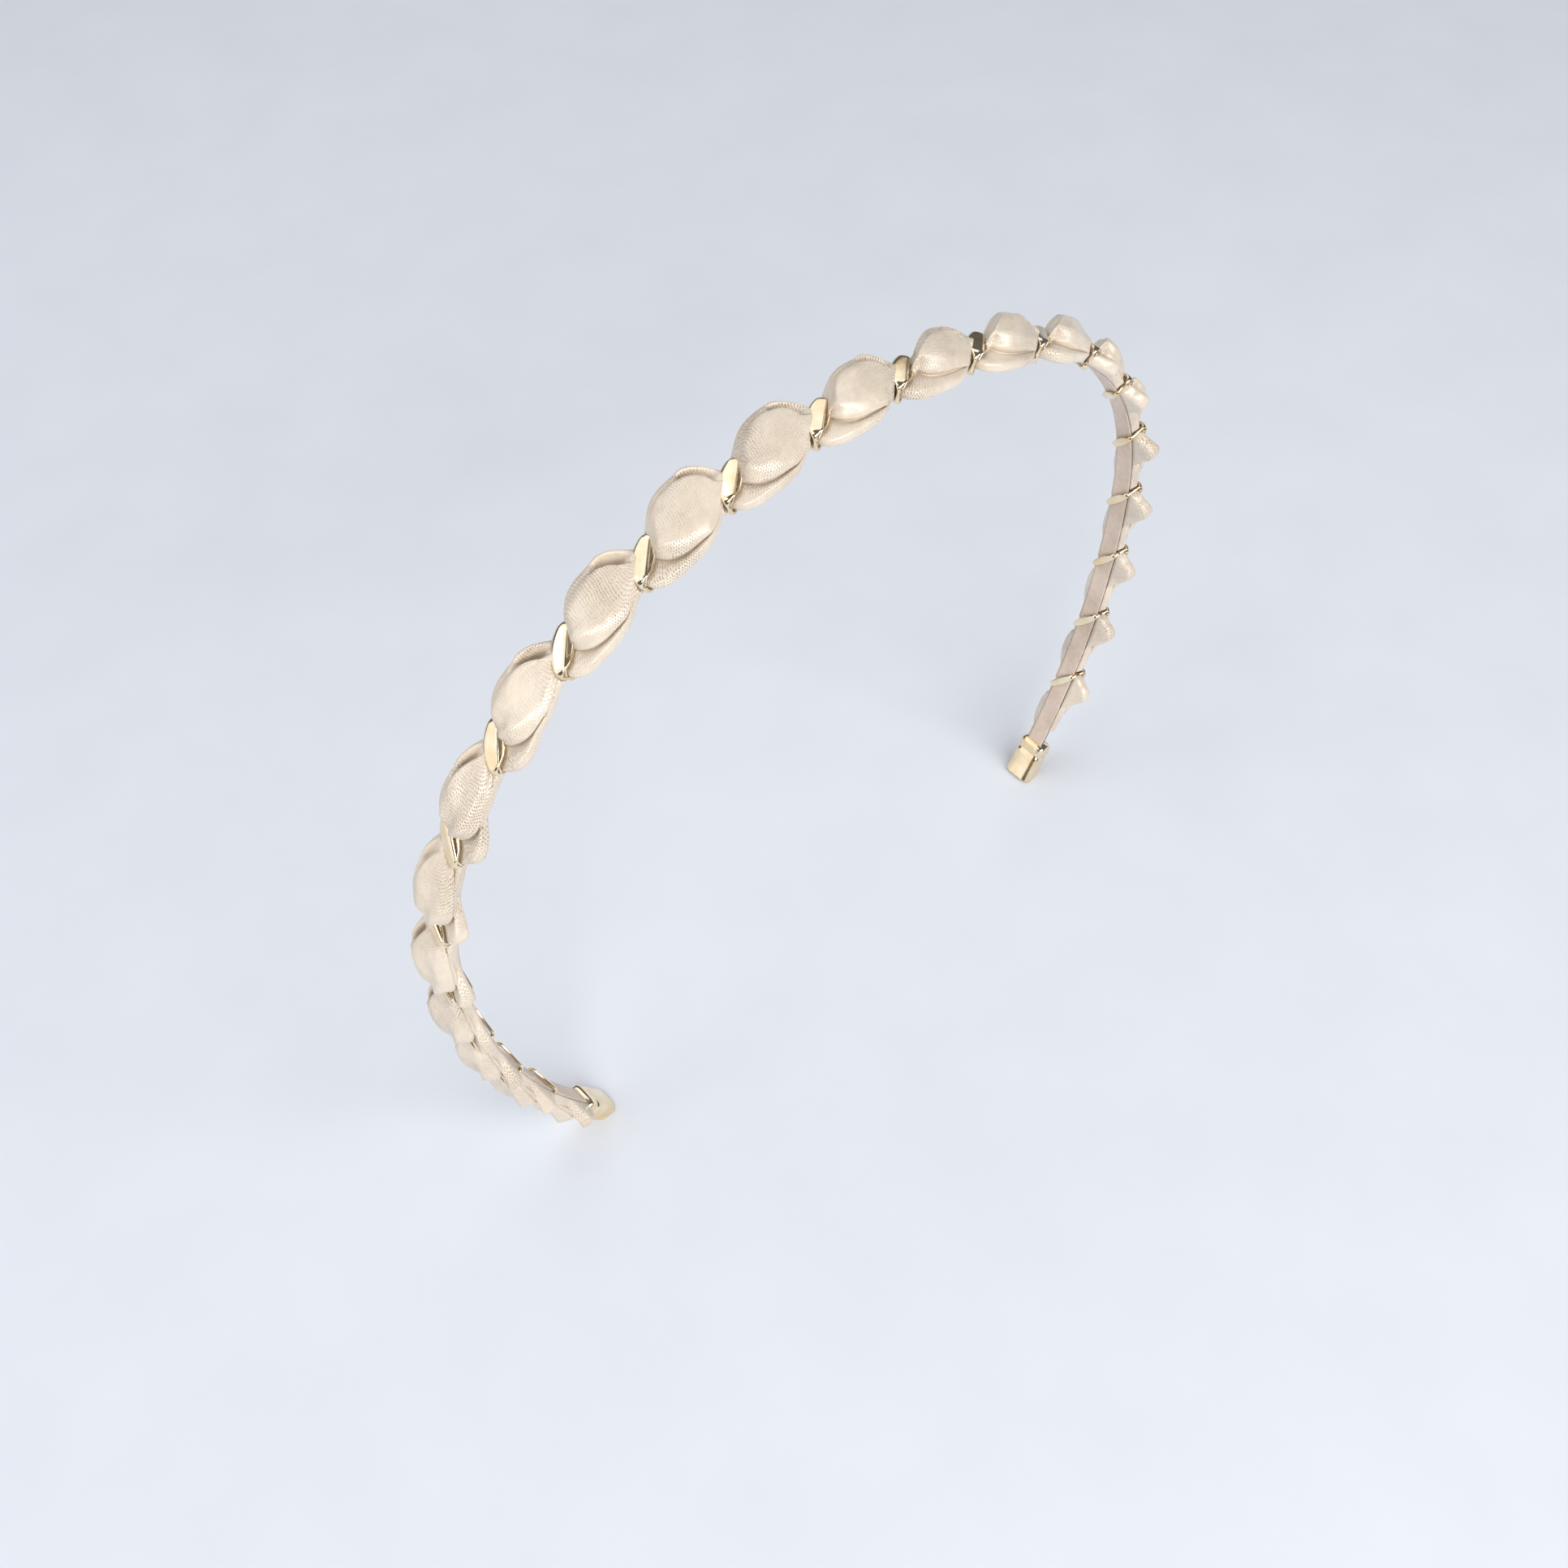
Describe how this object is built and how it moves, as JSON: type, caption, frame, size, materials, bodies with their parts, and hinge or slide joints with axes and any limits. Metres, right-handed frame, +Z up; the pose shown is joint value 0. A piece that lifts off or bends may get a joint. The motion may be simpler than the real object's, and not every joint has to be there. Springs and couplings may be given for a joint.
{
  "type": "ribbon headband",
  "caption": "Slim spring hoop headband with a satin ribbon laced through slanted gold links, swelling into a puff between each pair of links.",
  "frame": {"origin": "On the plane that the two tips stand on, midway between them, at the bottom centre of the bounding box", "axes": "+Z up through the top of the crown; +X towards the wearer's left, along the line between the two tips; +Y towards the back of the wearer's head, so the front edge of the band faces -Y"},
  "size_m": [0.1626, 0.0112, 0.1385],
  "materials": {
    "ribbon": "satin",
    "gold": "polished",
    "lining": "satin",
    "strip": "brushed"
  },
  "bodies": {
    "crown": {"strip_crown": "strip", "lining_crown": "lining", "puff_08": "ribbon", "puff_09": "ribbon", "puff_10": "ribbon", "puff_11": "ribbon", "puff_12": "ribbon", "puff_13": "ribbon", "puff_14": "ribbon", "puff_15": "ribbon", "link_07": "gold", "link_08": "gold", "link_09": "gold", "link_10": "gold", "link_11": "gold", "link_12": "gold", "link_13": "gold", "link_14": "gold", "link_15": "gold"},
    "arm_right": {"strip_arm_right": "strip", "lining_arm_right": "lining", "tip_right": "gold", "puff_01": "ribbon", "puff_02": "ribbon", "puff_03": "ribbon", "puff_04": "ribbon", "puff_05": "ribbon", "puff_06": "ribbon", "puff_07": "ribbon", "link_01": "gold", "link_02": "gold", "link_03": "gold", "link_04": "gold", "link_05": "gold", "link_06": "gold"},
    "arm_left": {"strip_arm_left": "strip", "lining_arm_left": "lining", "tip_left": "gold", "puff_16": "ribbon", "puff_17": "ribbon", "puff_18": "ribbon", "puff_19": "ribbon", "puff_20": "ribbon", "puff_21": "ribbon", "puff_22": "ribbon", "link_16": "gold", "link_17": "gold", "link_18": "gold", "link_19": "gold", "link_20": "gold", "link_21": "gold"}
  },
  "joints": [
    {"name": "right_arm_flex", "type": "hinge", "parent": "crown", "child": "arm_right", "pos_m": [-0.05885, 0, 0.11268], "axis": [0, 1, 0], "range_deg": [-3, 7], "stiffness_Nm_per_rad": 1.5},
    {"name": "left_arm_flex", "type": "hinge", "parent": "crown", "child": "arm_left", "pos_m": [0.05885, 0, 0.11268], "axis": [0, -1, 0], "range_deg": [-3, 7], "stiffness_Nm_per_rad": 1.5}
  ]
}
